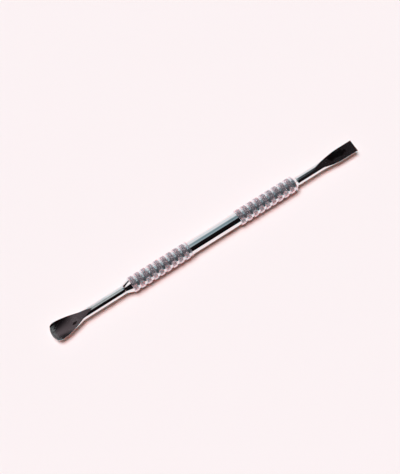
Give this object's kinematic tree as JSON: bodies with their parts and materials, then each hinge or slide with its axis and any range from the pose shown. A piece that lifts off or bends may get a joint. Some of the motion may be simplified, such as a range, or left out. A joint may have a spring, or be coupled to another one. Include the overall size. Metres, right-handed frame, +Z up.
{
  "type": "cuticle pusher",
  "caption": "Slim double-ended metal cuticle pusher: hollow handle with ring-grooved knurled grips, a scooped spoon pusher at one end and a flat chisel blade at the other.",
  "frame": {"origin": "on the surface the tool lies on, below the middle of its whole length", "axes": "+X along the handle towards the blade, +Z up out of the spoon's hollow face, Y across the handle"},
  "size_m": [0.13, 0.0072, 0.006],
  "materials": {
    "tube_steel": "mirror polished, fine rubbed scratches",
    "grip_steel": "diamond knurled, bright",
    "ferrule_steel": "mirror polished",
    "spoon_steel": "polished, faint grinding lines in the hollow",
    "blade_steel": "ground flat and buffed"
  },
  "bodies": {
    "root": {"handle_tube": "tube_steel", "spoon_grip_sleeve": "grip_steel", "blade_grip_sleeve": "grip_steel", "spoon_end_ferrule": "ferrule_steel", "blade_end_ferrule": "ferrule_steel", "spoon_working_end": "spoon_steel", "blade_working_end": "blade_steel"}
  },
  "joints": []
}
